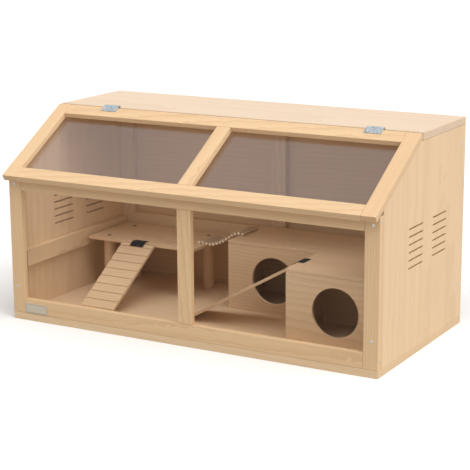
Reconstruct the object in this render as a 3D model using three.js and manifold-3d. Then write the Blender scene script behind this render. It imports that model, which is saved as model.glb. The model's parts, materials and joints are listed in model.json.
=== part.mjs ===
// Wooden hamster cage with a sloping hinged lid, two sleeping houses under one L-shaped roof,
// a raised shelf, two ramps and a hanging bridge.
// Millimetres, +Z up, X across the front, -Y towards the front.
// Origin: centre of the base board's underside.
import * as THREE from 'three';
import { mergeVertices } from 'three/addons/utils/BufferGeometryUtils.js';
import Module from 'manifold-3d';

const wasm = await Module();
wasm.setup();

// ---- driving dimensions -------------------------------------------------------------
const WIDTH = 1000;
const DEPTH = 494;
const HEIGHT = 515;          // to the top of the roof board
const BOARD = 18;            // base, sides and roof
const BACK_SHEET = 8;        // back panel
const GAP = 0.3;             // between pieces that touch

const FRAME = 17.6;          // thickness of the front frame
const STILE = 36.5;          // width of the outer uprights, front and lid
const BAR = 37;              // width of the middle bars
const BAR_X = 4;             // centre of the middle bars, a little right of the middle
const RAIL_LOW_TOP = 55;     // top of the front bottom rail
const RAIL_HIGH_BOTTOM = 331;
const FRONT_TOP = 366.5;     // top of the front frame
const REBATE = 8;            // how far a pane laps behind the bars
const PANE = 3;              // front panes
const LID_PANE = 2.5;

const LID_ANGLE = THREE.MathUtils.degToRad(30.4);
const LID_LENGTH = 286;      // along the slope
const LID_THICK = 16;
const LID_RAIL = 36;
const LID_EDGE_Y = -25.9;    // upper edge of the lid's top face
const LID_EDGE_Z = 515.2;

const BATTEN = 42;           // width of the inner battens and rails
const BATTEN_THICK = 18;
const LEFT_RAIL_Z = 134;
const BACK_RAIL_Z = 146;

const VENT_LENGTH = 83;
const VENT_HEIGHT = 4;
const VENT_PITCH = 18.3;
const VENT_ROWS = 6;
const VENT_TOP_Z = 305;
const VENT_CENTRES_Y = [-46.5, 93.5];

const HINGE_WIDTH = 44;
const HINGE_CENTRES = { left: -341, right: 383.5 };
const KNUCKLE_R = 3;
const PIN_R = 1.2;
const LEAF = 1.2;            // hinge sheet
const LEAF_ON_LID = 16;
const LEAF_ON_ROOF = 17;
const AXIS_BEYOND_LID = 7.7; // hinge axis past the lid's upper end

const ROOM_WIDTH = 255.5;    // front house, and the part of the back house that shows beside it
const HOUSE_DEPTH = 180;
const HOUSE_WALL = 8;
const HOUSE_TOP = 195;
const DOOR_R = 59;
const DOOR_Z = 103.5;
const BACK_HOUSE = { x0: -38, x1: 474, y0: 33 };
const FRONT_HOUSE = { x0: BACK_HOUSE.x1 - ROOM_WIDTH, x1: BACK_HOUSE.x1, y0: BACK_HOUSE.y0 - HOUSE_DEPTH };

const SHELF = { x0: -459, x1: -135, y0: 26, y1: 210, top: 160, thick: 8 };
const LEG_R = 15;
const LEG_INSET_X = 46;
const LEG_INSET_Y = 32;

const RAMP_WIDTH = 98;
const RAMP_THICK = 7;
const KERF_PITCH = 27;       // spacing of the foot grooves
const FIRST_KERF = 18;       // from the hinge line to the first groove
const KERF_WIDTH = 2.2;
const KERF_DEPTH = 2.5;
const RAMP_SETBACK = 6;      // from the hinge line to the board's end
const SHELF_RAMP_REACH = 254; // just short of the front panes when the ramp is lifted level
const SHELF_RAMP_X = -300;
const HOUSE_RAMP_REACH = 342;
const HOUSE_RAMP_Y = -67;

const STRAP_WIDTH = 40;
const STRAP = 1.2;
const STRAP_LAP = 16;        // length of strap on the platform and on the ramp
const STRAP_SPLIT = 1;       // the two halves stop this far from the fold

const ROD_R = 4;
const ROD_PITCH = 10.2;
const BRIDGE_Y0 = 83;
const BRIDGE_Y1 = 163;
const CORD_R = 1;
const CORD_INSET = 12;

const LABEL = { x0: -463, x1: -397, z0: 20, z1: 44, thick: 0.8 };

// ---- places worked out from them ------------------------------------------------------
const HALF = WIDTH / 2;
const FRONT = -DEPTH / 2;
const BACK = DEPTH / 2;
const FRAME_BACK = FRONT + FRAME;
const INSIDE_FRONT = FRAME_BACK + GAP;
const FLOOR = BOARD + GAP;
const INSIDE_X = HALF - BOARD;
const ROOF_UNDER = HEIGHT - BOARD;
const BACK_FACE = BACK - BACK_SHEET;
const BATTEN_FACE = BACK_FACE - GAP - BATTEN_THICK;
const WINDOWS = [
  [-HALF + STILE, BAR_X - BAR / 2],
  [BAR_X + BAR / 2, HALF - STILE],
];
const lidPoint = (along, above) => ({
  y: LID_EDGE_Y + along * Math.cos(LID_ANGLE) - above * Math.sin(LID_ANGLE),
  z: LID_EDGE_Z + along * Math.sin(LID_ANGLE) + above * Math.cos(LID_ANGLE),
});
const HINGE_HEIGHT = GAP + LEAF - KNUCKLE_R;       // axis height above the lid's top face
const HINGE_AXIS = lidPoint(AXIS_BEYOND_LID, HINGE_HEIGHT);
const ROOF_FRONT = HINGE_AXIS.y + KNUCKLE_R + 0.5;

// ---- materials --------------------------------------------------------------------------
const material = (color, roughness, metalness = 0, opacity = 1) => new THREE.MeshStandardMaterial({
  color, roughness, metalness, opacity, transparent: opacity < 1,
});
const PINE = material(0xf0d4a8, 0.6);
const PANEL = material(0xecd0ac, 0.62);
const INNER = material(0xe0bb8c, 0.65);
const ACRYLIC = material(0xf2f0ee, 0.06, 0, 0.3);
const ZINC = material(0xb9bcc0, 0.35, 0.9);
const BLACK = material(0x1c1c1f, 0.7);
const WILLOW = material(0xd9bf98, 0.7);
const PLATE = material(0xd8d2c6, 0.4);

const cage = new THREE.Group();

function addMesh(parent, name, geometry, look) {
  const mesh = new THREE.Mesh(geometry, look);
  mesh.name = name;
  parent.add(mesh);
  return mesh;
}

// ---- shapes -----------------------------------------------------------------------------
function block(x0, x1, y0, y1, z0, z1) {
  const shape = new THREE.BoxGeometry(x1 - x0, y1 - y0, z1 - z0);
  return shape.translate((x0 + x1) / 2, (y0 + y1) / 2, (z0 + z1) / 2);
}

// Cylinder of the given radius between a and b along one axis, through (p, q) across it.
function rod(axis, a, b, p, q, radius, sides = 24) {
  const shape = new THREE.CylinderGeometry(radius, radius, b - a, sides);
  const middle = (a + b) / 2;
  if (axis === 'x') return shape.rotateZ(-Math.PI / 2).translate(middle, p, q);
  if (axis === 'y') return shape.translate(p, middle, q);
  return shape.rotateX(Math.PI / 2).translate(p, q, middle);
}

// A (y, z) outline drawn as a shape, pushed along X from x0 to x1.
function alongX(shape, x0, x1) {
  const solid = new THREE.ExtrudeGeometry(shape, { depth: x1 - x0, bevelEnabled: false, curveSegments: 4 });
  const turn = new THREE.Matrix4().makeBasis(
    new THREE.Vector3(0, 1, 0),
    new THREE.Vector3(0, 0, 1),
    new THREE.Vector3(1, 0, 0),
  );
  return solid.applyMatrix4(turn).translate(x0, 0, 0);
}

function toSolid(geometry) {
  const bare = geometry.clone();
  bare.deleteAttribute('normal');
  bare.deleteAttribute('uv');
  const merged = mergeVertices(bare, 1e-4);
  return new wasm.Manifold(new wasm.Mesh({
    numProp: 3,
    vertProperties: new Float32Array(merged.attributes.position.array),
    triVerts: new Uint32Array(merged.index.array),
  }));
}

function toGeometry(solid) {
  const mesh = solid.getMesh();
  const geometry = new THREE.BufferGeometry();
  geometry.setAttribute('position', new THREE.BufferAttribute(mesh.vertProperties, 3));
  geometry.setIndex(new THREE.BufferAttribute(mesh.triVerts, 1));
  geometry.computeVertexNormals();
  return geometry;
}

function cut(geometry, cutters) {
  return toGeometry(cutters.reduce((solid, cutter) => solid.subtract(toSolid(cutter)), toSolid(geometry)));
}

function join(geometries) {
  return toGeometry(geometries.map(toSolid).reduce((sum, solid) => sum.add(solid)));
}

// ---- case: base, sides, back and roof -------------------------------------------------------
function stadium(centreY, centreZ, length, height) {
  const reach = (length - height) / 2;
  const shape = new THREE.Shape();
  shape.absarc(centreY + reach, centreZ, height / 2, -Math.PI / 2, Math.PI / 2);
  shape.absarc(centreY - reach, centreZ, height / 2, Math.PI / 2, Math.PI * 1.5);
  return shape;
}

function sidePanel(name, x0, x1) {
  const slope = Math.tan(LID_ANGLE);
  const underLid = lidPoint(0, -LID_THICK);
  const edgeZ = (y) => underLid.z - GAP / Math.cos(LID_ANGLE) + (y - underLid.y) * slope;
  const top = ROOF_UNDER - GAP;
  const meetY = underLid.y + (top - edgeZ(underLid.y)) / slope;
  const outline = new THREE.Shape();
  outline.moveTo(INSIDE_FRONT, FLOOR);
  outline.lineTo(BACK, FLOOR);
  outline.lineTo(BACK, top);
  outline.lineTo(meetY, top);
  outline.lineTo(INSIDE_FRONT, edgeZ(INSIDE_FRONT));
  for (const centre of VENT_CENTRES_Y) {
    for (let row = 0; row < VENT_ROWS; row += 1) {
      outline.holes.push(stadium(centre, VENT_TOP_Z - row * VENT_PITCH, VENT_LENGTH, VENT_HEIGHT));
    }
  }
  addMesh(cage, name, alongX(outline, x0, x1), PANEL);
}

addMesh(cage, 'base_board', block(-HALF, HALF, FRONT, BACK, 0, BOARD), PANEL);
sidePanel('left_side_panel', -HALF, -INSIDE_X);
sidePanel('right_side_panel', INSIDE_X, HALF);
const insideWall = INSIDE_X - GAP;
const underRoof = ROOF_UNDER - GAP;
addMesh(cage, 'back_panel', block(-insideWall, insideWall, BACK_FACE, BACK, FLOOR, underRoof), INNER);
addMesh(cage, 'roof_board', block(-HALF, HALF, ROOF_FRONT, BACK, ROOF_UNDER, HEIGHT), PANEL);

// ---- front frame and its panes --------------------------------------------------------------
const paneFront = FRAME_BACK - PANE;
const frontPockets = WINDOWS.map(([x0, x1]) => block(
  x0 - REBATE, x1 + REBATE, paneFront - GAP, FRAME_BACK + 1, RAIL_LOW_TOP - REBATE, RAIL_HIGH_BOTTOM + REBATE,
));
const frontBars = {
  front_left_stile: [-HALF, -HALF + STILE, FLOOR, FRONT_TOP],
  front_right_stile: [HALF - STILE, HALF, FLOOR, FRONT_TOP],
  front_bottom_rail: [-HALF + STILE + GAP, HALF - STILE - GAP, FLOOR, RAIL_LOW_TOP],
  front_top_rail: [-HALF + STILE + GAP, HALF - STILE - GAP, RAIL_HIGH_BOTTOM, FRONT_TOP],
  front_mullion: [BAR_X - BAR / 2, BAR_X + BAR / 2, RAIL_LOW_TOP + GAP, RAIL_HIGH_BOTTOM - GAP],
};
for (const [name, [x0, x1, z0, z1]] of Object.entries(frontBars)) {
  addMesh(cage, name, cut(block(x0, x1, FRONT, FRAME_BACK, z0, z1), frontPockets), PINE);
}
const paneLap = REBATE - GAP;
WINDOWS.forEach(([x0, x1], side) => {
  const name = ['front_left_pane', 'front_right_pane'][side];
  const low = RAIL_LOW_TOP - paneLap;
  const high = RAIL_HIGH_BOTTOM + paneLap;
  addMesh(cage, name, block(x0 - paneLap, x1 + paneLap, paneFront, FRAME_BACK, low, high), ACRYLIC);
});
const labelBack = FRONT - GAP;
const label = block(LABEL.x0, LABEL.x1, labelBack - LABEL.thick, labelBack, LABEL.z0, LABEL.z1);
addMesh(cage, 'label_plate', label, PLATE);

// ---- lid: drawn flat with its upper edge on y = 0, then tilted --------------------------------
const lid = new THREE.Group();
lid.position.set(0, LID_EDGE_Y, LID_EDGE_Z);
lid.rotation.x = LID_ANGLE;
cage.add(lid);
const lidWindow = [-LID_LENGTH + LID_RAIL, -LID_RAIL];
const lidPockets = WINDOWS.map(([x0, x1]) => block(
  x0 - REBATE, x1 + REBATE, lidWindow[0] - REBATE, lidWindow[1] + REBATE,
  -LID_THICK - 1, -LID_THICK + LID_PANE + GAP,
));
const lidBars = {
  lid_left_stile: [-HALF, -HALF + STILE, -LID_LENGTH, 0],
  lid_right_stile: [HALF - STILE, HALF, -LID_LENGTH, 0],
  lid_bottom_rail: [-HALF + STILE + GAP, HALF - STILE - GAP, -LID_LENGTH, lidWindow[0]],
  lid_top_rail: [-HALF + STILE + GAP, HALF - STILE - GAP, lidWindow[1], 0],
  lid_muntin: [BAR_X - BAR / 2, BAR_X + BAR / 2, lidWindow[0] + GAP, lidWindow[1] - GAP],
};
for (const [name, [x0, x1, y0, y1]] of Object.entries(lidBars)) {
  addMesh(lid, name, cut(block(x0, x1, y0, y1, -LID_THICK, 0), lidPockets), PINE);
}
WINDOWS.forEach(([x0, x1], side) => {
  const name = ['lid_left_pane', 'lid_right_pane'][side];
  const y0 = lidWindow[0] - paneLap;
  const y1 = lidWindow[1] + paneLap;
  addMesh(lid, name, block(x0 - paneLap, x1 + paneLap, y0, y1, -LID_THICK, -LID_THICK + LID_PANE), ACRYLIC);
});

// ---- lid hinges: one leaf on the lid, one down the roof's front edge, and a pin -----------------
function lidLeaf(name, centre) {
  const half = HINGE_WIDTH / 2;
  const knuckle = HINGE_WIDTH / 6 - 0.15;
  const clear = AXIS_BEYOND_LID - KNUCKLE_R - 0.5;
  const leaf = join([
    block(centre - half, centre + half, -LEAF_ON_LID, clear, GAP, GAP + LEAF),
    block(centre - knuckle, centre + knuckle, clear - 1, AXIS_BEYOND_LID, GAP, GAP + LEAF),
    rod('x', centre - knuckle, centre + knuckle, AXIS_BEYOND_LID, HINGE_HEIGHT, KNUCKLE_R, 16),
  ]);
  const bore = rod('x', centre - half, centre + half, AXIS_BEYOND_LID, HINGE_HEIGHT, PIN_R + GAP, 12);
  addMesh(lid, name, cut(leaf, [bore]), ZINC);
}

function roofLeaf(name, centre) {
  const half = HINGE_WIDTH / 2;
  const knuckle = HINGE_WIDTH / 6 + 0.15;
  const { y, z } = HINGE_AXIS;
  const leaf = join([
    block(centre - half, centre + half, y + KNUCKLE_R - LEAF, y + KNUCKLE_R, z - LEAF_ON_ROOF, z),
    rod('x', centre - half, centre + half, y, z, KNUCKLE_R, 16),
  ]);
  const bore = rod('x', centre - half - 1, centre + half + 1, y, z, PIN_R + GAP, 12);
  const notch = block(centre - knuckle, centre + knuckle, y - 4, y + 4, z - KNUCKLE_R - 0.5, z + 4);
  addMesh(cage, name, cut(leaf, [bore, notch]), ZINC);
}

for (const [side, centre] of Object.entries(HINGE_CENTRES)) {
  const half = HINGE_WIDTH / 2;
  lidLeaf(`${side}_hinge_lid_leaf`, centre);
  roofLeaf(`${side}_hinge_roof_leaf`, centre);
  const pin = rod('x', centre - half - 0.4, centre + half + 0.4, HINGE_AXIS.y, HINGE_AXIS.z, PIN_R, 12);
  addMesh(cage, `${side}_hinge_pin`, pin, ZINC);
}

// ---- battens and rails on the inner walls -------------------------------------------------------
const battenBack = BACK_FACE - GAP;
const barX0 = BAR_X - BATTEN / 2;
const barX1 = BAR_X + BATTEN / 2;
const wallX = INSIDE_X - GAP;
const battens = {
  back_left_batten: [-wallX, -INSIDE_X + BATTEN, FLOOR, underRoof],
  back_middle_batten: [barX0, barX1, FLOOR, underRoof],
  back_right_batten: [INSIDE_X - BATTEN, wallX, FLOOR, underRoof],
  back_left_rail: [-INSIDE_X + BATTEN + GAP, barX0 - GAP, BACK_RAIL_Z, BACK_RAIL_Z + BATTEN],
  back_right_rail: [barX1 + GAP, INSIDE_X - BATTEN - GAP, BACK_RAIL_Z, BACK_RAIL_Z + BATTEN],
};
for (const [name, [x0, x1, z0, z1]] of Object.entries(battens)) {
  addMesh(cage, name, block(x0, x1, BATTEN_FACE, battenBack, z0, z1), INNER);
}
const leftRail = block(
  -wallX, -INSIDE_X + BATTEN_THICK, INSIDE_FRONT, BATTEN_FACE - GAP, LEFT_RAIL_Z, LEFT_RAIL_Z + BATTEN,
);
addMesh(cage, 'left_wall_rail', leftRail, INNER);

// ---- houses: the front one stands against the back one's front, and one L-shaped roof covers both ----
const wallTop = HOUSE_TOP - HOUSE_WALL - GAP;

function houseFront(prefix, { x0, x1, y0 }) {
  const doorway = rod('y', y0 - 1, y0 + HOUSE_WALL + 1, x0 + ROOM_WIDTH / 2, DOOR_Z, DOOR_R, 40);
  const front = cut(block(x0, x1, y0, y0 + HOUSE_WALL, FLOOR, wallTop), [doorway]);
  addMesh(cage, `${prefix}_front`, front, INNER);
}

function houseSides(prefix, { x0, x1, y0 }, y1) {
  const start = y0 + HOUSE_WALL + GAP;
  addMesh(cage, `${prefix}_left_side`, block(x0, x0 + HOUSE_WALL, start, y1, FLOOR, wallTop), INNER);
  addMesh(cage, `${prefix}_right_side`, block(x1 - HOUSE_WALL, x1, start, y1, FLOOR, wallTop), INNER);
}

const houseBack = BACK_HOUSE.y0 + HOUSE_DEPTH;
const houseBackFace = houseBack - HOUSE_WALL;
houseFront('back_house', BACK_HOUSE);
houseSides('back_house', BACK_HOUSE, houseBackFace - GAP);
const backWall = block(BACK_HOUSE.x0, BACK_HOUSE.x1, houseBackFace, houseBack, FLOOR, wallTop);
addMesh(cage, 'back_house_back', backWall, INNER);
houseFront('front_house', FRONT_HOUSE);
houseSides('front_house', FRONT_HOUSE, BACK_HOUSE.y0 - GAP);

const roofOutline = new THREE.Shape([
  new THREE.Vector2(BACK_HOUSE.x0, BACK_HOUSE.y0),
  new THREE.Vector2(FRONT_HOUSE.x0, BACK_HOUSE.y0),
  new THREE.Vector2(FRONT_HOUSE.x0, FRONT_HOUSE.y0),
  new THREE.Vector2(FRONT_HOUSE.x1, FRONT_HOUSE.y0),
  new THREE.Vector2(BACK_HOUSE.x1, houseBack),
  new THREE.Vector2(BACK_HOUSE.x0, houseBack),
]);
const houseRoof = new THREE.ExtrudeGeometry(roofOutline, { depth: HOUSE_WALL, bevelEnabled: false });
addMesh(cage, 'house_roof', houseRoof.translate(0, 0, HOUSE_TOP - HOUSE_WALL), INNER);

// ---- shelf on four round legs ----------------------------------------------------------------------
const shelfUnder = SHELF.top - SHELF.thick;
addMesh(cage, 'shelf_board', block(SHELF.x0, SHELF.x1, SHELF.y0, SHELF.y1, shelfUnder, SHELF.top), INNER);
const legPlaces = {
  front_left: [SHELF.x0 + LEG_INSET_X, SHELF.y0 + LEG_INSET_Y],
  front_right: [SHELF.x1 - LEG_INSET_X, SHELF.y0 + LEG_INSET_Y],
  back_left: [SHELF.x0 + LEG_INSET_X, SHELF.y1 - LEG_INSET_Y],
  back_right: [SHELF.x1 - LEG_INSET_X, SHELF.y1 - LEG_INSET_Y],
};
for (const [place, [x, y]] of Object.entries(legPlaces)) {
  addMesh(cage, `shelf_leg_${place}`, rod('z', FLOOR, shelfUnder - GAP, x, y, LEG_R), INNER);
}

// ---- ramps: drawn flat with the hinge line on x, running down to -y, then tilted ---------------------
function ramp(prefix, platform, hingeX, hingeY, turn, reach) {
  const lift = GAP + STRAP / 2;                    // hinge line above the platform
  const under = lift + RAMP_THICK;
  const drop = platform + lift - FLOOR;
  const angle = Math.asin(drop / Math.hypot(reach, under)) - Math.atan2(under, reach);

  const place = new THREE.Group();
  place.position.set(hingeX, hingeY, platform + lift);
  place.rotation.z = turn;
  cage.add(place);
  const tilted = new THREE.Group();
  tilted.rotation.x = angle;
  place.add(tilted);

  const half = RAMP_WIDTH / 2;
  const kerfs = [];
  for (let along = FIRST_KERF; along < reach - KERF_PITCH / 3; along += KERF_PITCH) {
    kerfs.push(block(
      -half - 1, half + 1, -along - KERF_WIDTH / 2, -along + KERF_WIDTH / 2, -lift - KERF_DEPTH, -lift + 1,
    ));
  }
  const board = block(-half, half, -reach, -RAMP_SETBACK, -under, -lift);
  addMesh(tilted, `${prefix}_ramp`, cut(board, kerfs), INNER);

  const strapHalf = STRAP_WIDTH / 2;
  const onPlatform = block(-strapHalf, strapHalf, STRAP_SPLIT, STRAP_LAP, -STRAP / 2, STRAP / 2);
  const onRamp = block(-strapHalf, strapHalf, -STRAP_LAP - STRAP_SPLIT, -STRAP_SPLIT, -STRAP / 2, STRAP / 2);
  addMesh(place, `${prefix}_strap_upper`, onPlatform, BLACK);
  addMesh(tilted, `${prefix}_strap_lower`, onRamp, BLACK);
}
ramp('shelf', SHELF.top, SHELF_RAMP_X, SHELF.y0, 0, SHELF_RAMP_REACH);
ramp('house', HOUSE_TOP, FRONT_HOUSE.x0, HOUSE_RAMP_Y, -Math.PI / 2, HOUSE_RAMP_REACH);

// ---- hanging bridge: round sticks strung on two cords, from the shelf up to the back house ------------
function bridge() {
  const onShelf = SHELF.top + ROD_R + GAP;
  const onRoof = HOUSE_TOP + ROD_R + GAP;
  const path = new THREE.CatmullRomCurve3([
    new THREE.Vector3(SHELF.x1 - 18, 0, onShelf),
    new THREE.Vector3(SHELF.x1 - 4, 0, onShelf),
    new THREE.Vector3(SHELF.x1 + 17, 0, onShelf - 1.6),
    new THREE.Vector3(SHELF.x1 + 47, 0, onShelf + 8.4),
    new THREE.Vector3(BACK_HOUSE.x0 - 17, 0, onRoof - 5.5),
    new THREE.Vector3(BACK_HOUSE.x0 - 2, 0, onRoof + 0.6),
    new THREE.Vector3(BACK_HOUSE.x0 + 12, 0, onRoof),
  ]);
  const count = Math.round(path.getLength() / ROD_PITCH);
  const pieces = [];
  for (let i = 0; i <= count; i += 1) {
    const at = path.getPointAt(i / count);
    pieces.push(rod('y', BRIDGE_Y0, BRIDGE_Y1, at.x, at.z, ROD_R, 12));
  }
  const section = new THREE.Shape();
  section.absarc(0, 0, CORD_R, 0, Math.PI * 2);
  const cord = { steps: 2 * count, extrudePath: path, curveSegments: 3, bevelEnabled: false };
  for (const y of [BRIDGE_Y0 + CORD_INSET, BRIDGE_Y1 - CORD_INSET]) {
    pieces.push(new THREE.ExtrudeGeometry(section, cord).translate(0, y, 0));
  }
  addMesh(cage, 'hanging_bridge', join(pieces), WILLOW);
}
bridge();

export default cage;
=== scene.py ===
"""Looks for the wooden hamster cage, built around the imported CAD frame. Metres, +Z up, front towards -Y."""

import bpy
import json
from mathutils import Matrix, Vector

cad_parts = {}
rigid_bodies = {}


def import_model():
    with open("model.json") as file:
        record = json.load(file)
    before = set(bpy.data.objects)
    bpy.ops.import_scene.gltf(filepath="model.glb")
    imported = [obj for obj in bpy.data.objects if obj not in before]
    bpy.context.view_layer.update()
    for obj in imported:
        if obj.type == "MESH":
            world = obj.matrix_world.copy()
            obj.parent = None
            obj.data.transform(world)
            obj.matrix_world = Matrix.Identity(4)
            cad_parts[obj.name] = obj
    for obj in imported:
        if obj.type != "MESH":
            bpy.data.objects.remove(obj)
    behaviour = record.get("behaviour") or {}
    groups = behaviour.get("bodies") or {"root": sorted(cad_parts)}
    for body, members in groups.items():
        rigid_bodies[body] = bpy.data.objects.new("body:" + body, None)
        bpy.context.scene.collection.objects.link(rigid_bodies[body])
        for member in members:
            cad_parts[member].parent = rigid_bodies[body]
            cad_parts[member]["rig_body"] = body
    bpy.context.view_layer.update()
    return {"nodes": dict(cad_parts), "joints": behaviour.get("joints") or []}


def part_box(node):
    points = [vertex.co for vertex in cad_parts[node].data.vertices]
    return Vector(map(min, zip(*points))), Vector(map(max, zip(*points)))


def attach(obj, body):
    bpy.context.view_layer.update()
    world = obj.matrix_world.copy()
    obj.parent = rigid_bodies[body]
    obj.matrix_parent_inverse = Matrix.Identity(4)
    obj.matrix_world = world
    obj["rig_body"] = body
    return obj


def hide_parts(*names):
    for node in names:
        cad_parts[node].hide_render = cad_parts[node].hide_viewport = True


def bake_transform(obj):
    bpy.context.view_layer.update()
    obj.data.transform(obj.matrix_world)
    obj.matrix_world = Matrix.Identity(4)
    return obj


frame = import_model()

import json
import math
import random

import bmesh
import bpy
from mathutils import Matrix, Vector

MM = 0.001
NODES = frame["nodes"]
BODY_OF = {node: obj["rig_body"] for node, obj in NODES.items()}
HINGE_AT = {joint["name"]: Vector(joint["pos_m"]) for joint in frame["joints"]}
LID_ANGLE = math.radians(30.4)
LID_LENGTH = 286 * MM    # along the slope
LID_THICK = 16 * MM
RAMP_THICK = 7 * MM

# ---- camera ---------------------------------------------------------------------------------

CAMERA_TURN = (29.621, 13.409, -0.352)    # azimuth, elevation and roll in degrees
CAMERA_DISTANCE = 3.668
CAMERA_LENS = 114.31
CAMERA_SENSOR = 36
AIM = (0, -0.007, 0.25)
AIM_RIGHT, AIM_DOWN = 0.00407, 0.02926    # sets the object where it stands in the frame


def make_camera():
    azimuth, elevation, roll = (math.radians(a) for a in CAMERA_TURN)
    back = Vector((
        math.sin(azimuth) * math.cos(elevation),
        -math.cos(azimuth) * math.cos(elevation),
        math.sin(elevation),
    ))
    right = Vector((math.cos(azimuth), math.sin(azimuth), 0))
    up = back.cross(right)
    target = Vector(AIM) + right * AIM_RIGHT - up * AIM_DOWN
    x_axis = right * math.cos(roll) + up * math.sin(roll)
    y_axis = up * math.cos(roll) - right * math.sin(roll)
    data = bpy.data.cameras.new("camera")
    data.lens = CAMERA_LENS
    data.sensor_width = CAMERA_SENSOR
    data.clip_end = 60
    camera = bpy.data.objects.new("camera", data)
    bpy.context.scene.collection.objects.link(camera)
    pose = Matrix((x_axis, y_axis, back)).transposed().to_4x4()
    pose.translation = target + back * CAMERA_DISTANCE
    camera.matrix_world = pose
    bpy.context.scene.camera = camera


make_camera()

# ---- materials --------------------------------------------------------------------------------


class Graph:
    """A material's node tree, with short calls for the nodes used here."""

    def __init__(self, name):
        self.material = bpy.data.materials.new(name)
        self.material.use_nodes = True
        self.tree = self.material.node_tree
        self.tree.nodes.clear()
        self.output = self.add("ShaderNodeOutputMaterial")

    def add(self, kind, inputs=None, **settings):
        node = self.tree.nodes.new(kind)
        for name, value in settings.items():
            setattr(node, name, value)
        for socket, value in (inputs or {}).items():
            self.feed(node, socket, value)
        return node

    def feed(self, node, socket, value):
        if isinstance(value, bpy.types.NodeSocket):
            self.tree.links.new(value, node.inputs[socket])
        elif node.inputs[socket].type == "RGBA":
            node.inputs[socket].default_value = (*value, 1)
        else:
            node.inputs[socket].default_value = value

    def place(self):
        return self.add("ShaderNodeTexCoord").outputs["Object"]

    def mapped(self, vector, scale=(1, 1, 1), shift=(0, 0, 0), turn=(0, 0, 0)):
        inputs = {"Vector": vector, "Scale": scale, "Location": shift, "Rotation": turn}
        return self.add("ShaderNodeMapping", inputs).outputs["Vector"]

    def noise(self, vector, scale, detail=2.0, rough=0.5):
        inputs = {"Vector": vector, "Scale": scale, "Detail": detail, "Roughness": rough}
        return self.add("ShaderNodeTexNoise", inputs).outputs["Fac"]

    def math(self, operation, a, b=0.0, clamp=False):
        node = self.add("ShaderNodeMath", {0: a, 1: b}, operation=operation, use_clamp=clamp)
        return node.outputs[0]

    def spread(self, value, amount):
        """value, centred on 0 and scaled."""
        return self.math("MULTIPLY", self.math("SUBTRACT", value, 0.5), amount)

    def total(self, values, clamp=False):
        result = values[0]
        for value in values[1:]:
            result = self.math("ADD", result, value)
        return self.math("ADD", result, 0.0, clamp) if clamp else result

    def above(self, value, low, high):
        inputs = {"Value": value, "From Min": low, "From Max": high, "To Min": 0.0, "To Max": 1.0}
        return self.add("ShaderNodeMapRange", inputs, interpolation_type="SMOOTHSTEP").outputs["Result"]

    def blend(self, amount, a, b):
        node = self.add("ShaderNodeMix", data_type="RGBA")
        self.feed(node, 0, amount)
        self.feed(node, 6, a)
        self.feed(node, 7, b)
        return node.outputs[2]

    def bump(self, height, distance, strength=1.0):
        inputs = {"Height": height, "Distance": distance, "Strength": strength}
        return self.add("ShaderNodeBump", inputs).outputs["Normal"]

    def surface(self, inputs):
        shader = self.add("ShaderNodeBsdfPrincipled", inputs)
        self.tree.links.new(shader.outputs[0], self.output.inputs["Surface"])
        return self.material


AXES = {"X": 0, "Y": 1, "Z": 2}


def wood(name, grain, seed, light, dark, rings=0.5, ring_mm=7.0, stripe=0.3, turn=(0, 0, 0),
         base=0.42, end=0.3):
    """Planed wood: growth rings about an off-centre axis, long fibres, flecks and dark end grain."""
    g = Graph(name)
    rng = random.Random(seed)
    place = g.mapped(g.place(), turn=turn)
    along = AXES[grain]
    shift = [rng.uniform(0.05, 0.14) * rng.choice((-1, 1)) for _ in range(3)]
    lean = [math.radians(rng.uniform(0.4, 1.6)) * rng.choice((-1, 1)) for _ in range(3)]
    lean[along] = 0

    def stretched(ratio):
        scale = [1.0, 1.0, 1.0]
        scale[along] = ratio
        return g.mapped(place, scale=scale, shift=[rng.uniform(-9, 9) for _ in range(3)])

    heart = g.mapped(place, shift=shift, turn=lean)
    wobble = g.noise(stretched(0.12), 14, 2.0)
    rings_node = g.add(
        "ShaderNodeTexWave",
        {"Vector": heart, "Scale": math.pi / 10 / (ring_mm * MM), "Distortion": 2.2, "Detail": 2.0,
         "Detail Scale": 0.7, "Detail Roughness": 0.45, "Phase Offset": g.math("MULTIPLY", wobble, 9.0)},
        wave_type="RINGS", rings_direction=grain, wave_profile="SAW",
    )
    late = g.math("POWER", rings_node.outputs["Fac"], 2.2)
    fibre = g.noise(stretched(0.025), 420, 3.0, 0.6)
    hair = g.noise(stretched(0.012), 1500, 2.0, 0.5)
    broad = g.noise(stretched(0.02), 38, 1.0)
    cloud = g.noise(stretched(0.4), 5, 2.0)
    fleck = g.above(g.noise(stretched(0.09), 760, 1.0), 0.66, 0.78)
    normal = g.add("ShaderNodeTexCoord").outputs["Normal"]
    facing = g.add("ShaderNodeSeparateXYZ", {0: g.mapped(normal, turn=turn)}).outputs[along]
    cut_end = g.math("POWER", g.math("ABSOLUTE", facing), 6.0)

    tone = g.total([
        g.spread(late, rings), g.spread(fibre, 0.55), g.spread(hair, 0.3), g.spread(broad, stripe),
        g.spread(cloud, 0.35), g.math("MULTIPLY", fleck, 0.22), g.math("MULTIPLY", cut_end, end),
        base,
    ], clamp=True)
    height = g.total([g.spread(fibre, 0.6), g.spread(hair, 0.5), g.math("MULTIPLY", fleck, -0.6)])
    return g.surface({
        "Base Color": g.blend(tone, light, dark),
        "Roughness": g.math("ADD", g.spread(fibre, 0.16), 0.55),
        "Specular IOR Level": 0.3,
        "Normal": g.bump(height, 0.00018, 0.5),
    })


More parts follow.
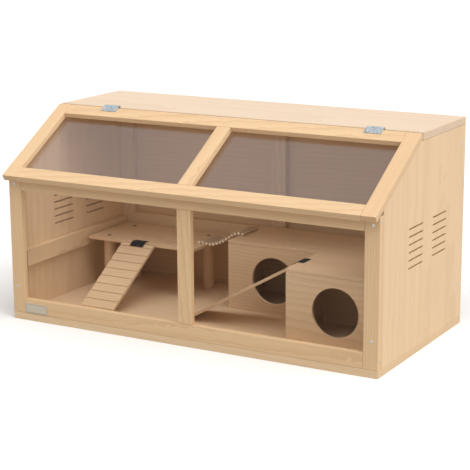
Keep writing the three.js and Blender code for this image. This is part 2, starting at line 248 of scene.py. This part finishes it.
def clear_sheet(name, shine, tint):
    """Thin acrylic: clear, with a reflection that grows at a glancing angle."""
    g = Graph(name)
    grazing = g.add("ShaderNodeLayerWeight", {"Blend": 0.5}).outputs["Facing"]
    mirror = g.math("ADD", g.math("MULTIPLY", g.math("POWER", grazing, 5.0), 0.9), shine)
    haze = g.noise(g.mapped(g.place(), scale=(1, 1, 3)), 9, 3.0)
    gloss = g.add("ShaderNodeBsdfPrincipled", {
        "Base Color": (0.82, 0.82, 0.84),
        "Roughness": g.math("ADD", g.spread(haze, 0.03), 0.05),
        "Metallic": 1.0,
    })
    through = g.add("ShaderNodeBsdfTransparent", {"Color": tint})
    mixed = g.add("ShaderNodeMixShader", {0: mirror, 1: through.outputs[0], 2: gloss.outputs[0]})
    g.tree.links.new(mixed.outputs[0], g.output.inputs["Surface"])
    return g.material


def zinc(name, colour, rough):
    g = Graph(name)
    place = g.place()
    mottle = g.noise(place, 160, 3.0)
    scratch = g.noise(g.mapped(place, scale=(0.08, 1, 1)), 900, 2.0)
    dull = [c * 0.62 for c in colour]
    return g.surface({
        "Base Color": g.blend(g.above(mottle, 0.35, 0.8), colour, dull),
        "Metallic": 1.0,
        "Roughness": g.math("ADD", g.spread(scratch, 0.22), rough),
        "Normal": g.bump(scratch, 0.00005, 0.4),
    })


def webbing():
    """Black woven strap: ribs across, threads along, with painted shade in the hollows of the weave so the
    raised threads read lighter, and random dusty speckle.
    """
    g = Graph("black_webbing")
    place = g.place()
    ribs = [
        g.add("ShaderNodeTexWave", {"Vector": place, "Scale": scale, "Distortion": 0.4, "Detail": 1.0},
              wave_type="BANDS", bands_direction=direction).outputs["Fac"]
        for direction, scale in (("X", 190), ("Y", 150))
    ]
    weave = g.math("MULTIPLY", ribs[0], ribs[1])
    dust = g.noise(place, 320, 3.0)
    # painted shade: the weave pattern darkens the hollows between the raised threads; the dust noise only
    # adds random speckle
    tone = g.total([g.math("MULTIPLY", weave, 0.55), g.spread(dust, 0.5)], clamp=True)
    return g.surface({
        "Base Color": g.blend(tone, (0.006, 0.006, 0.007), (0.03, 0.03, 0.032)),
        "Roughness": g.math("ADD", g.spread(dust, 0.2), 0.72),
        "Specular IOR Level": 0.35,
        "Normal": g.bump(weave, 0.0003, 0.8),
    })


def cord_fibre():
    g = Graph("jute_cord")
    place = g.place()
    fuzz = g.noise(place, 1800, 3.0, 0.6)
    return g.surface({
        "Base Color": g.blend(fuzz, (0.66, 0.55, 0.38), (0.42, 0.31, 0.19)),
        "Roughness": 0.85,
        "Sheen Weight": 0.3,
        "Normal": g.bump(fuzz, 0.0002, 0.7),
    })


def plate_print():
    """Blank pale plate: a thin dark border line and no lettering."""
    g = Graph("label_plate")
    low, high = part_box("label_plate")
    centre = (low + high) / 2
    half = (high - low) / 2
    split = g.add("ShaderNodeSeparateXYZ", {0: g.mapped(g.place(), shift=-centre)})
    inset = []
    for axis in ("X", "Z"):
        distance = g.math("ABSOLUTE", split.outputs[axis])
        inset.append(g.math("SUBTRACT", half[AXES[axis]], distance))
    margin = g.math("MINIMUM", inset[0], inset[1])
    line = g.math("MULTIPLY", g.math("GREATER_THAN", margin, 1.6 * MM), g.math("LESS_THAN", margin, 2.3 * MM))
    grain = g.noise(g.place(), 700, 2.0)
    body = g.blend(grain, (0.66, 0.60, 0.49), (0.56, 0.50, 0.40))
    return g.surface({
        "Base Color": g.blend(line, body, (0.17, 0.15, 0.12)),
        "Roughness": g.math("ADD", g.spread(grain, 0.1), 0.42),
        "Normal": g.bump(grain, 0.00004, 0.3),
    })


def floor_paper():
    """Studio paper that looks white and throws little light back up."""
    g = Graph("studio_floor")
    speck = g.noise(g.place(), 60, 2.0)
    seen = g.add("ShaderNodeLightPath").outputs["Is Camera Ray"]
    paper = g.blend(speck, (0.94, 0.94, 0.94), (0.92, 0.92, 0.92))
    return g.surface({
        "Base Color": g.blend(seen, (0.52, 0.50, 0.47), paper),
        "Roughness": 0.8,
        "Specular IOR Level": 0.1,
    })


PINE = ((0.80, 0.572, 0.345), (0.61, 0.385, 0.205))
PANEL = ((0.81, 0.60, 0.385), (0.68, 0.475, 0.285))
ROOF = ((0.78, 0.62, 0.465), (0.65, 0.48, 0.335))
INNER = ((0.79, 0.575, 0.36), (0.61, 0.41, 0.235))
STICK = ((0.93, 0.80, 0.60), (0.52, 0.34, 0.20))

# ---- mesh tools ---------------------------------------------------------------------------------


def new_piece(name, mesh, body, material):
    obj = bpy.data.objects.new(name, mesh)
    bpy.context.scene.collection.objects.link(obj)
    mesh.materials.clear()
    mesh.materials.append(material)
    if body is not None:
        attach(obj, body)
    return obj


def mesh_from(bm, name):
    mesh = bpy.data.meshes.new(name)
    bm.to_mesh(mesh)
    bm.free()
    for polygon in mesh.polygons:
        polygon.use_smooth = True
    return mesh


def eased_mesh(bm, name, width, segments=2, angle=35):
    """The mesh with its sharp edges rounded and its flat faces kept flat."""
    mesh = mesh_from(bm, name)
    holder = bpy.data.objects.new(name + "_holder", mesh)
    bpy.context.scene.collection.objects.link(holder)
    bevel = holder.modifiers.new("ease", "BEVEL")
    bevel.width = width
    bevel.segments = segments
    bevel.limit_method = "ANGLE"
    bevel.angle_limit = math.radians(angle)
    holder.modifiers.new("even", "WEIGHTED_NORMAL").weight = 90
    bpy.context.view_layer.update()
    depsgraph = bpy.context.evaluated_depsgraph_get()
    result = bpy.data.meshes.new_from_object(holder.evaluated_get(depsgraph), depsgraph=depsgraph)
    bpy.data.objects.remove(holder)
    bpy.data.meshes.remove(mesh)
    result.name = name
    return result


def eased_node(node, material, width=0.9 * MM):
    """A piece that stands for a CAD node: the same solid with eased edges."""
    bm = bmesh.new()
    bm.from_mesh(NODES[node].data)
    bmesh.ops.remove_doubles(bm, verts=bm.verts, dist=1e-6)
    bmesh.ops.dissolve_limit(bm, angle_limit=math.radians(0.5), verts=bm.verts, edges=bm.edges)
    name = node + "_eased"
    piece = new_piece(name, eased_mesh(bm, name, width), BODY_OF[node], material)
    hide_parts(node)
    return piece


def lathe(bm, profile, steps, place):
    """Turns a (radius, height) profile about local Z and puts it in place."""
    rings = []
    for radius, height in profile:
        if radius == 0:
            rings.append([bm.verts.new(place @ Vector((0, 0, height)))])
            continue
        turns = [2 * math.pi * i / steps for i in range(steps)]
        rings.append([bm.verts.new(place @ Vector((radius * math.cos(t), radius * math.sin(t), height)))
                      for t in turns])
    for below, over in zip(rings, rings[1:]):
        for i in range(steps):
            j = (i + 1) % steps
            corners = [below[i % len(below)], below[j % len(below)], over[j % len(over)], over[i % len(over)]]
            corners = [v for k, v in enumerate(corners) if v not in corners[:k]]
            if len(corners) > 2:
                bm.faces.new(corners)


# ---- wooden boards -----------------------------------------------------------------------------------


def dress_boards():
    tilted = (-LID_ANGLE, 0, 0)
    looks = {}

    def look(names, grain, tones, **more):
        for name in names:
            looks[name] = (grain, tones, more)

    look(["base_board"], "X", PANEL, rings=0.3, ring_mm=11)
    look(["roof_board"], "X", ROOF, rings=0.28, ring_mm=12, stripe=0.25)
    look(["left_side_panel", "right_side_panel"], "Z", PANEL, rings=0.3, ring_mm=12, stripe=0.6)
    look(["back_panel"], "X", INNER, rings=0.25, ring_mm=12)
    look(["front_left_stile", "front_right_stile", "front_mullion"], "Z", PINE, rings=0.4, ring_mm=5)
    look(["front_bottom_rail", "front_top_rail"], "X", PINE, rings=0.4, ring_mm=5)
    look(["lid_left_stile", "lid_right_stile", "lid_muntin"], "Y", PINE, rings=0.4, ring_mm=5, turn=tilted)
    look(["lid_top_rail", "lid_bottom_rail"], "X", PINE, rings=0.4, ring_mm=5, turn=tilted)
    look(["back_left_batten", "back_middle_batten", "back_right_batten"], "Z", INNER, ring_mm=6)
    look(["back_left_rail", "back_right_rail"], "X", INNER, ring_mm=6)
    look(["left_wall_rail"], "Y", INNER, ring_mm=6)
    look(["shelf_board"], "X", INNER, rings=0.4, ring_mm=8)
    house = {"rings": 0.45, "ring_mm": 9, "stripe": 0.4}
    look(["back_house_front", "front_house_front", "back_house_back", "house_roof"], "X", INNER, **house)
    sides = [f"{end}_house_{side}_side" for end in ("back", "front") for side in ("left", "right")]
    look(sides, "Y", INNER, **house)
    for seed, (name, (grain, (light, dark), more)) in enumerate(sorted(looks.items())):
        eased_node(name, wood("wood_" + name, grain, 11 + seed, light, dark, **more))


def dress_legs():
    legs = sorted(name for name in NODES if name.startswith("shelf_leg_"))
    for seed, name in enumerate(legs):
        low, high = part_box(name)
        radius = (high.x - low.x) / 2
        tall = high.z - low.z
        edge = 1.2 * MM
        profile = [(0, 0), (radius - edge, 0), (radius - 0.3 * edge, 0.3 * edge), (radius, edge),
                   (radius, tall - edge), (radius - 0.3 * edge, tall - 0.3 * edge),
                   (radius - edge, tall), (0, tall)]
        bm = bmesh.new()
        lathe(bm, profile, 56, Matrix.Translation(((low.x + high.x) / 2, (low.y + high.y) / 2, low.z)))
        piece = new_piece(name + "_dowel", mesh_from(bm, name + "_dowel"), BODY_OF[name],
                          wood("wood_" + name, "Z", 90 + seed, *INNER, rings=0.6, ring_mm=5))
        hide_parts(name)


def slope_of(node, axis):
    """Angle of a ramp above the floor, from its box and its thickness."""
    low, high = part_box(node)
    run, rise = (high - low)[axis], high.z - low.z
    return math.atan2(rise - RAMP_THICK, run)


def dress_ramps():
    shelf_turn = (-slope_of("shelf_ramp", 1), 0, 0)
    house_turn = (0, slope_of("house_ramp", 0), 0)
    eased_node("shelf_ramp", wood("wood_shelf_ramp", "X", 71, *INNER, rings=0.5, ring_mm=7, turn=shelf_turn),
               0.5 * MM)
    eased_node("house_ramp", wood("wood_house_ramp", "Y", 72, *INNER, rings=0.5, ring_mm=7, turn=house_turn),
               0.5 * MM)


# ---- straps that bend over the ramp hinges -----------------------------------------------------------


def make_strap(name, joint, downhill, slope, nodes, material):
    """A woven strap, flat on the platform, bending over the hinge line and running down the ramp."""
    width, thick, upper, lower, bend = 40 * MM, 1.2 * MM, 16 * MM, 17 * MM, 6 * MM
    steps_along, steps_across = 44, 12
    side = Vector((0, 0, 1)).cross(downhill)
    hinge = HINGE_AT[joint]
    step = (upper + lower) / steps_along
    position = hinge - downhill * upper
    spine = []
    for i in range(steps_along + 1):
        travelled = i * step - upper
        turned = min(max(travelled / bend + 0.5, 0), 1)
        angle = slope * turned * turned * (3 - 2 * turned)
        heading = downhill * math.cos(angle) - Vector((0, 0, math.sin(angle)))
        normal = Vector((0, 0, math.cos(angle))) + downhill * math.sin(angle)
        spine.append((position.copy(), normal))
        position = position + heading * step
    bm = bmesh.new()
    layers = []
    for level in (-0.5, 0.5):
        layers.append([
            [bm.verts.new(point + normal * (level * thick) + side * (width * (j / steps_across - 0.5)))
             for j in range(steps_across + 1)]
            for point, normal in spine
        ])
    under, over = layers
    for i in range(steps_along):
        for j in range(steps_across):
            bm.faces.new([over[i][j], over[i + 1][j], over[i + 1][j + 1], over[i][j + 1]])
            bm.faces.new([under[i][j + 1], under[i + 1][j + 1], under[i + 1][j], under[i][j]])
        for j in (0, steps_across):
            bm.faces.new([under[i][j], under[i + 1][j], over[i + 1][j], over[i][j]])
    for i in (0, steps_along):
        for j in range(steps_across):
            bm.faces.new([under[i][j], over[i][j], over[i][j + 1], under[i][j + 1]])
    bmesh.ops.recalc_face_normals(bm, faces=bm.faces)
    piece = new_piece(name, eased_mesh(bm, name, 0.3 * MM, 2, 50), None, material)
    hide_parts(*nodes)
    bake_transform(piece)


def make_straps():
    material = webbing()
    make_strap("shelf_strap", "shelf_ramp_hinge", Vector((0, -1, 0)), slope_of("shelf_ramp", 1),
               ("shelf_strap_upper", "shelf_strap_lower"), material)
    make_strap("house_strap", "house_ramp_hinge", Vector((-1, 0, 0)), slope_of("house_ramp", 0),
               ("house_strap_upper", "house_strap_lower"), material)


# ---- hanging bridge -------------------------------------------------------------------------------------

SHELF_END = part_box("shelf_board")[1]
HOUSE_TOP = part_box("house_roof")
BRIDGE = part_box("hanging_bridge")
ROD_R = 4 * MM
ROD_PITCH = 10.2 * MM
CORD_R = 1 * MM
CORD_INSET = 12 * MM
REST = ROD_R + 0.3 * MM


def bridge_path():
    """Evenly spaced rod centres (x, z), on a smooth curve through the points that the CAD bridge hangs on."""
    shelf_x, shelf_z = SHELF_END.x, SHELF_END.z + REST
    roof_x, roof_z = HOUSE_TOP[0].x, HOUSE_TOP[1].z + REST
    knots = [
        (shelf_x - 18 * MM, shelf_z), (shelf_x - 4 * MM, shelf_z), (shelf_x + 17 * MM, shelf_z - 1.6 * MM),
        (shelf_x + 47 * MM, shelf_z + 8.4 * MM), (roof_x - 17 * MM, roof_z - 5.5 * MM),
        (roof_x - 2 * MM, roof_z + 0.6 * MM), (roof_x + 12 * MM, roof_z),
    ]
    points = [Vector((x, 0, z)) for x, z in knots]
    ends = [points[0] * 2 - points[1], *points, points[-1] * 2 - points[-2]]
    fine = []
    for a, b, c, d in zip(ends, ends[1:], ends[2:], ends[3:]):
        for i in range(40):
            t = i / 40
            fine.append(0.5 * (2 * b + (c - a) * t + (2 * a - 5 * b + 4 * c - d) * t * t
                               + (3 * b - a - 3 * c + d) * t ** 3))
    fine.append(points[-1])
    lengths = [0.0]
    for a, b in zip(fine, fine[1:]):
        lengths.append(lengths[-1] + (b - a).length)
    count = round(lengths[-1] / ROD_PITCH)
    path, k = [], 0
    for i in range(count + 1):
        wanted = lengths[-1] * i / count
        while k < len(lengths) - 2 and lengths[k + 1] < wanted:
            k += 1
        share = (wanted - lengths[k]) / (lengths[k + 1] - lengths[k])
        path.append(fine[k].lerp(fine[k + 1], min(share, 1)))
    return path


def twisted(bm, path, radius, pitch, strands=3, sides=8):
    """A laid cord: strands wound round the path."""
    fine = []
    for a, b in zip(path, path[1:]):
        fine.extend(a.lerp(b, i / 12) for i in range(12))
    fine.append(path[-1])
    strand_r = radius * 0.52
    for s in range(strands):
        travelled = 0.0
        rings = []
        for i, point in enumerate(fine):
            ahead = fine[min(i + 1, len(fine) - 1)] - fine[max(i - 1, 0)]
            heading = ahead.normalized()
            across = Vector((0, 1, 0))
            over = across.cross(heading).normalized()
            if i:
                travelled += (point - fine[i - 1]).length
            turn = 2 * math.pi * (travelled / pitch + s / strands)
            centre = point + (across * math.cos(turn) + over * math.sin(turn)) * (radius - strand_r)
            rings.append([bm.verts.new(centre + (across * math.cos(t) + over * math.sin(t)) * strand_r)
                          for t in (2 * math.pi * k / sides for k in range(sides))])
        for a, b in zip(rings, rings[1:]):
            for k in range(sides):
                bm.faces.new([a[k], a[(k + 1) % sides], b[(k + 1) % sides], b[k]])
        bm.faces.new(list(reversed(rings[0])))
        bm.faces.new(rings[-1])


def make_bridge():
    path = bridge_path()
    rng = random.Random(5)
    y0, y1 = BRIDGE[0].y, BRIDGE[1].y
    bm = bmesh.new()
    for centre in path:
        inset = rng.uniform(0, 0.8) * MM
        length = y1 - y0 - 2 * inset
        radius = ROD_R * rng.uniform(0.93, 1.0)
        edge = 0.7 * MM
        profile = [(0, 0), (radius - edge, 0), (radius - 0.25 * edge, 0.3 * edge), (radius, edge)]
        for i in range(1, 8):
            swell = radius * (1 - rng.uniform(0, 0.03))
            profile.append((swell, edge + (length - 2 * edge) * i / 8))
        profile += [(radius, length - edge), (radius - 0.25 * edge, length - 0.3 * edge),
                    (radius - edge, length), (0, length)]
        place = Matrix.Translation((centre.x, y0 + inset, centre.z)) @ Matrix.Rotation(-math.pi / 2, 4, "X")
        lathe(bm, profile, 24, place)
    look = wood("wood_bridge_sticks", "Y", 61, *STICK, rings=0.4, ring_mm=3, base=0.75, end=-0.9)
    sticks = new_piece("bridge_sticks", mesh_from(bm, "bridge_sticks"), "case", look)
    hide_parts("hanging_bridge")

    bm = bmesh.new()
    tail = 5 * MM
    first = path[0] + (path[0] - path[1]).normalized() * tail
    last = path[-1] + (path[-1] - path[-2]).normalized() * tail
    for y in (y0 + CORD_INSET, y1 - CORD_INSET):
        route = [Vector((p.x, y, p.z)) for p in (first, *path, last)]
        twisted(bm, route, CORD_R, 5 * MM)
        for end in (route[0], route[-1]):
            turned = Matrix.Translation(end) @ Matrix.Rotation(math.pi / 2, 4, "Y")
            lathe(bm, [(0, -2 * MM), (1.5 * MM, -1.5 * MM), (2.2 * MM, 0), (1.5 * MM, 1.5 * MM), (0, 2 * MM)],
                  14, turned)
    new_piece("bridge_cords", mesh_from(bm, "bridge_cords"), "case", cord_fibre())


# ---- screws, hinges, panes and plate --------------------------------------------------------------------


def screw_head(radius):
    """A low domed head with a cross recess, standing on z = 0."""
    rise = 0.75 * MM
    profile = [(0, 0), (radius, 0), (radius, 0.25 * MM)]
    for i in range(1, 8):
        turn = math.pi / 2 * i / 8
        profile.append((radius * math.cos(turn), 0.25 * MM + (rise - 0.25 * MM) * math.sin(turn)))
    profile.append((0, rise))
    bm = bmesh.new()
    lathe(bm, profile, 40, Matrix.Identity(4))
    head = bpy.data.objects.new("head", mesh_from(bm, "head"))
    bpy.context.scene.collection.objects.link(head)
    cutters = []
    for size in ((radius * 1.15, radius * 0.24), (radius * 0.24, radius * 1.15)):
        bm = bmesh.new()
        bmesh.ops.create_cube(bm, size=1)
        bmesh.ops.scale(bm, verts=bm.verts, vec=(*size, rise))
        bmesh.ops.translate(bm, verts=bm.verts, vec=(0, 0, 0.2 * MM + rise / 2))
        cutter = bpy.data.objects.new("cutter", mesh_from(bm, "cutter"))
        bpy.context.scene.collection.objects.link(cutter)
        cut = head.modifiers.new("recess", "BOOLEAN")
        cut.operation = "DIFFERENCE"
        cut.solver = "EXACT"
        cut.object = cutter
        cutters.append(cutter)
    bpy.context.view_layer.update()
    depsgraph = bpy.context.evaluated_depsgraph_get()
    mesh = bpy.data.meshes.new_from_object(head.evaluated_get(depsgraph), depsgraph=depsgraph)
    for obj in (head, *cutters):
        bpy.data.objects.remove(obj)
    bm = bmesh.new()
    bm.from_mesh(mesh)
    bpy.data.meshes.remove(mesh)
    return eased_mesh(bm, f"screw_{round(radius / MM * 10)}", 0.08 * MM, 1, 40)


def make_screws(name, places, body, material, radius):
    """One piece with a head at each (point, outward direction) place, each turned its own way."""
    rng = random.Random(name)
    head = screw_head(radius)
    bm = bmesh.new()
    for point, outward in places:
        start = len(bm.verts)
        bm.from_mesh(head)
        bm.verts.ensure_lookup_table()
        turn = Vector(outward).to_track_quat("Z", "Y").to_matrix().to_4x4()
        spin = Matrix.Rotation(rng.uniform(0, math.pi / 2), 4, "Z")
        place = Matrix.Translation(Vector(point)) @ turn @ spin
        bmesh.ops.transform(bm, matrix=place, verts=bm.verts[start:])
    mesh = mesh_from(bm, name)
    for polygon in mesh.polygons:
        polygon.use_smooth = False
    bpy.data.meshes.remove(head)
    return new_piece(name, mesh, body, material)


def lid_point(x, along, above):
    """A point on the lid: along is up the slope from its lower edge, above is off its top face."""
    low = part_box("lid_left_stile")[0]
    base = Vector((x, low.y, low.z + LID_THICK * math.cos(LID_ANGLE)))
    slope = Vector((0, math.cos(LID_ANGLE), math.sin(LID_ANGLE)))
    normal = Vector((0, -math.sin(LID_ANGLE), math.cos(LID_ANGLE)))
    return base + slope * along + normal * above


def all_screws():
    bright = zinc("zinc_screw", (0.78, 0.77, 0.75), 0.34)
    # dark screw colour: painted shade standing in for the shadow in recessed screw holes, though these heads
    # sit on the board
    dark = zinc("screw_dark_painted_hole_shade", (0.12, 0.085, 0.06), 0.5)
    stile_low, stile_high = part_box("front_left_stile")
    roof_low, roof_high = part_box("roof_board")
    floor_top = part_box("base_board")[1].z
    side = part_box("right_side_panel")[1].x
    case = []
    for x, z in (
        (-side + 16 * MM, stile_high.z - 21.5 * MM), (side - 16 * MM, stile_high.z - 21.5 * MM),
        (-side + 16 * MM, floor_top + 68 * MM), (side - 17 * MM, floor_top + 66 * MM),
    ):
        case.append(((x, stile_low.y, z), (0, -1, 0)))
    for x, y in (
        (-side + 14 * MM, roof_high.y - 17 * MM), (4 * MM, roof_high.y - 11 * MM),
        (side - 15 * MM, roof_high.y - 13 * MM),
        (-side + 15 * MM, roof_low.y + 12 * MM), (side - 15 * MM, roof_low.y + 12 * MM),
    ):
        case.append(((x, y, roof_high.z), (0, 0, 1)))
    for y, z in (
        (roof_high.y - 22 * MM, roof_low.z - 45.5 * MM), (roof_high.y - 22.5 * MM, floor_top + 84.4 * MM),
        (stile_low.y + 9 * MM, floor_top + 20 * MM), (stile_low.y + 9 * MM, stile_high.z - 12.5 * MM),
    ):
        case.append(((side, y, z), (1, 0, 0)))
        case.append(((-side, y, z), (-1, 0, 0)))
    make_screws("case_screws", case, "case", bright, 3.8 * MM)
    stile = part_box("lid_left_stile")
    depth = stile[1].y - stile[0].y
    lid = []
    for x, outward in ((side, (1, 0, 0)), (-side, (-1, 0, 0))):
        for along in (18 * MM, depth / math.cos(LID_ANGLE) - 40 * MM):
            lid.append((lid_point(x, along, -LID_THICK / 2), outward))
    make_screws("lid_screws", lid, "lid", bright, 2.6 * MM)
    shelf_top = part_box("shelf_board")[1].z
    shelf = []
    for leg in ("front_left", "front_right", "back_left", "back_right"):
        low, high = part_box("shelf_leg_" + leg)
        shelf.append((((low.x + high.x) / 2, (low.y + high.y) / 2, shelf_top), (0, 0, 1)))
    # shelf screw heads take the dark painted-shade colour of recessed holes
    make_screws("shelf_screws", shelf, "case", dark, 5.5 * MM)
    on_lid, on_roof = [], []
    normal = (0, -math.sin(LID_ANGLE), math.cos(LID_ANGLE))
    for hinge in ("left_hinge", "right_hinge"):
        low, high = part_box(hinge + "_lid_leaf")
        middle = (low.x + high.x) / 2
        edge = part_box(hinge + "_roof_leaf")
        for offset in (-14 * MM, 14 * MM):
            on_lid.append((lid_point(middle + offset, LID_LENGTH - 8.5 * MM, 1.5 * MM), normal))
            on_roof.append(((middle + offset, edge[1].y - 1.2 * MM, edge[0].z + 6 * MM), (0, -1, 0)))
    make_screws("hinge_lid_screws", on_lid, "lid", bright, 2.3 * MM)
    make_screws("hinge_roof_screws", on_roof, "case", bright, 2.1 * MM)


def dress_hardware():
    leaf = zinc("zinc_hinge", (0.49, 0.54, 0.57), 0.34)
    for node in sorted(NODES):
        if node.endswith("_leaf"):
            eased_node(node, leaf, 0.25 * MM)
        elif node.endswith("_pin"):
            eased_node(node, leaf, 0.3 * MM)
    front = clear_sheet("clear_acrylic", 0.008, (0.992, 0.99, 0.988))
    lid = clear_sheet("lid_acrylic", 0.07, (0.97, 0.965, 0.98))
    for node in sorted(NODES):
        if node.endswith("_pane"):
            NODES[node].data.materials.clear()
            NODES[node].data.materials.append(lid if node.startswith("lid") else front)
    eased_node("label_plate", plate_print(), 0.25 * MM)


dress_boards()
dress_legs()
dress_ramps()
make_straps()
make_bridge()
all_screws()
dress_hardware()

# ---- studio -----------------------------------------------------------------------------------------------


def make_floor():
    bm = bmesh.new()
    bmesh.ops.create_grid(bm, x_segments=2, y_segments=2, size=14)
    mesh = bpy.data.meshes.new("floor")
    bm.to_mesh(mesh)
    bm.free()
    floor = bpy.data.objects.new("floor", mesh)
    bpy.context.scene.collection.objects.link(floor)
    mesh.materials.append(floor_paper())


def soft_sun(name, toward, strength, spread):
    """A wide, even light from the direction toward; strength 1 lights a white sheet fully."""
    data = bpy.data.lights.new(name, "SUN")
    data.energy = strength * math.pi
    data.angle = math.radians(spread)
    light = bpy.data.objects.new(name, data)
    bpy.context.scene.collection.objects.link(light)
    light.rotation_euler = Vector(toward).to_track_quat("Z", "Y").to_euler()


def make_world(lighting, colour, seen):
    """Even pale surroundings: one strength lights the scene, the camera and glossy rays see another."""
    world = bpy.data.worlds.new("studio")
    bpy.context.scene.world = world
    world.use_nodes = True
    tree = world.node_tree
    tree.nodes.clear()
    path = tree.nodes.new("ShaderNodeLightPath")
    direct = tree.nodes.new("ShaderNodeMath")
    direct.operation = "MAXIMUM"
    tree.links.new(path.outputs["Is Camera Ray"], direct.inputs[0])
    tree.links.new(path.outputs["Is Glossy Ray"], direct.inputs[1])
    mix = tree.nodes.new("ShaderNodeMixShader")
    out = tree.nodes.new("ShaderNodeOutputWorld")
    tree.links.new(direct.outputs[0], mix.inputs[0])
    for socket, strength, tint in ((1, lighting, colour), (2, seen, (1, 1, 1))):
        background = tree.nodes.new("ShaderNodeBackground")
        background.inputs["Color"].default_value = (*tint, 1)
        background.inputs["Strength"].default_value = strength
        tree.links.new(background.outputs[0], mix.inputs[socket])
    tree.links.new(mix.outputs[0], out.inputs["Surface"])


make_floor()
make_world(lighting=0.40, colour=(1, 0.97, 0.93), seen=1.0)
soft_sun("key", toward=(0.42, -0.10, 0.90), strength=0.50, spread=40)
soft_sun("front", toward=(-0.05, -0.55, 0.83), strength=0.30, spread=45)
soft_sun("fill", toward=(0.95, -0.10, 0.30), strength=0.37, spread=60)
view = bpy.context.scene.view_settings
view.view_transform = "Standard"
view.look = "None"
